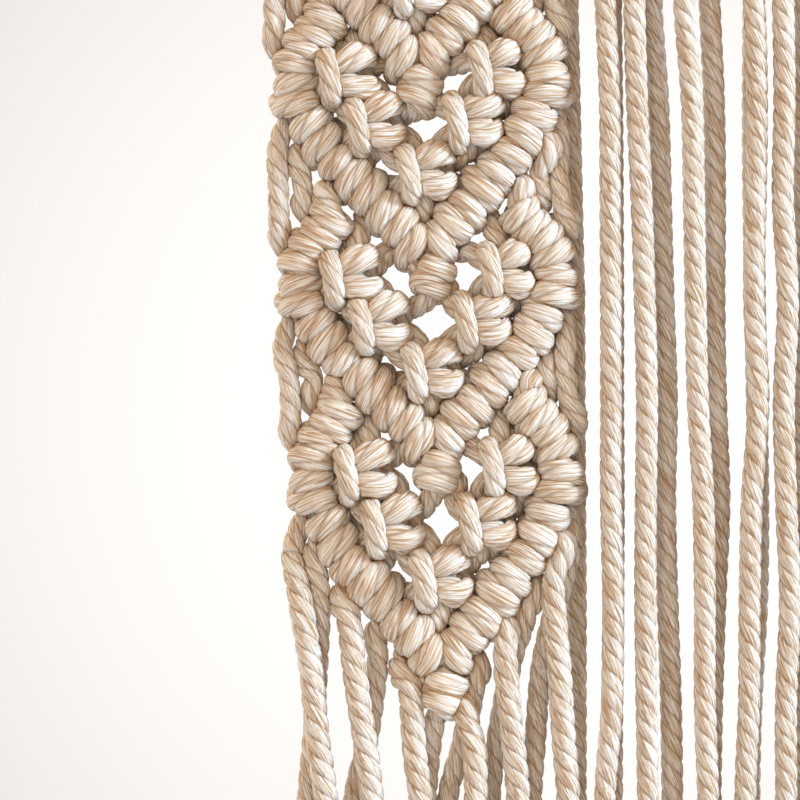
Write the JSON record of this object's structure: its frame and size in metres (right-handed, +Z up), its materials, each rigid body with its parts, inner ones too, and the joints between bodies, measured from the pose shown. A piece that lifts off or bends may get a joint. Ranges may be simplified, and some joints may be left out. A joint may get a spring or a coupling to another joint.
{
  "type": "macrame wall hanging",
  "caption": "Macrame wall hanging of twisted cotton cord: a knotted strip of V-shaped motifs that ends in a fringe, beside a curtain of plain cords, on a short knotted heading.",
  "frame": {"origin": "middle of the heading's top edge, on the heading's centre line from front to back", "axes": "+X to the right as seen from the front, from the knotted strip towards the curtain of plain cords; +Y away from the viewer, towards the wall; +Z up"},
  "size_m": [0.1152, 0.0142, 0.2899],
  "materials": {
    "cotton_cord": "matt natural cotton, three plies twisted"
  },
  "bodies": {
    "root": {"holding_cord": "cotton_cord", "heading_knots": "cotton_cord", "knotted_strip": "cotton_cord", "strip_fringe": "cotton_cord", "string_curtain": "cotton_cord"}
  },
  "joints": []
}
